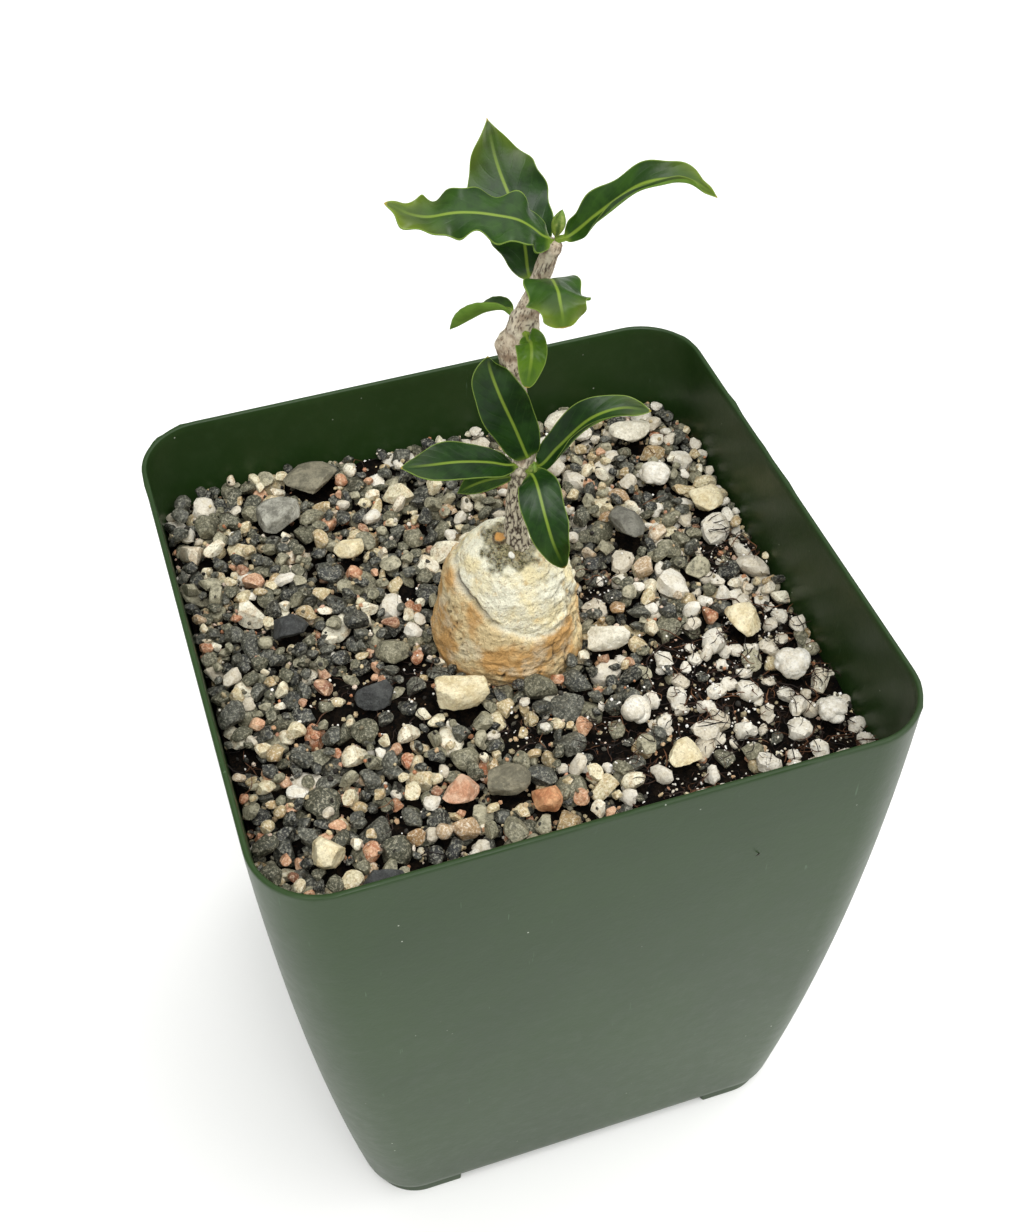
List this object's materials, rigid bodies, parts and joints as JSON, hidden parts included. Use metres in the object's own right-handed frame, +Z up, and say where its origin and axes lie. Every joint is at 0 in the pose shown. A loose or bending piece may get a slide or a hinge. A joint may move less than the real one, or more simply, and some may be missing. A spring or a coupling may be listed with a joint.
{
  "type": "potted fockea",
  "caption": "Young fockea with a swollen caudex, a thin knobbly stem and wavy leaves, in gritty mix in a tapered square nursery pot.",
  "frame": {"origin": "centre of the bounding box in X and Y, on the plane that the pot's four feet stand on", "axes": "+Z up along the stem; X and Y square to the pot's sides, with -Y the side that faces the viewer and +X to the viewer's right"},
  "size_m": [0.0986, 0.1014, 0.1829],
  "materials": {
    "green_polypropylene": "satin",
    "gritty_mix": "matte",
    "caudex_bark": "matte",
    "stem_bark": "matte",
    "leaf_green": "satin",
    "bud_green": "satin",
    "pale_stone": "matte",
    "grey_stone": "matte",
    "dark_stone": "matte",
    "warm_stone": "matte"
  },
  "bodies": {
    "root": {"nursery_pot": "green_polypropylene", "potting_mix": "gritty_mix", "caudex": "caudex_bark", "stem": "stem_bark", "leaf_top_back": "leaf_green", "leaf_top_left": "leaf_green", "leaf_top_right": "leaf_green", "leaf_front": "leaf_green", "leaf_mid_left": "leaf_green", "leaf_small_front": "leaf_green", "leaf_low_back": "leaf_green", "leaf_low_left": "leaf_green", "leaf_low_under": "leaf_green", "leaf_low_right": "leaf_green", "leaf_low_front": "leaf_green", "terminal_bud": "bud_green", "axillary_bud": "bud_green", "stone_cream_at_foot": "pale_stone", "stone_flat_oval": "grey_stone", "stone_speckled_back": "grey_stone", "stone_cream_right": "pale_stone", "stone_white_back": "pale_stone", "stone_white_far": "pale_stone", "stone_cream_far": "pale_stone", "stone_beige_right": "pale_stone", "stone_cream_mid_right": "pale_stone", "stone_perlite_right": "pale_stone", "stone_perlite_corner": "pale_stone", "stone_perlite_front": "pale_stone", "stone_speckled_front": "pale_stone", "stone_olive_front": "grey_stone", "stone_pink_front": "warm_stone", "stone_orange_front": "warm_stone", "stone_cream_corner": "pale_stone", "stone_dark_left": "dark_stone", "stone_dark_corner": "dark_stone", "stone_grey_long": "grey_stone", "stone_dark_mid": "dark_stone", "stone_tan_left": "pale_stone"}
  },
  "joints": []
}
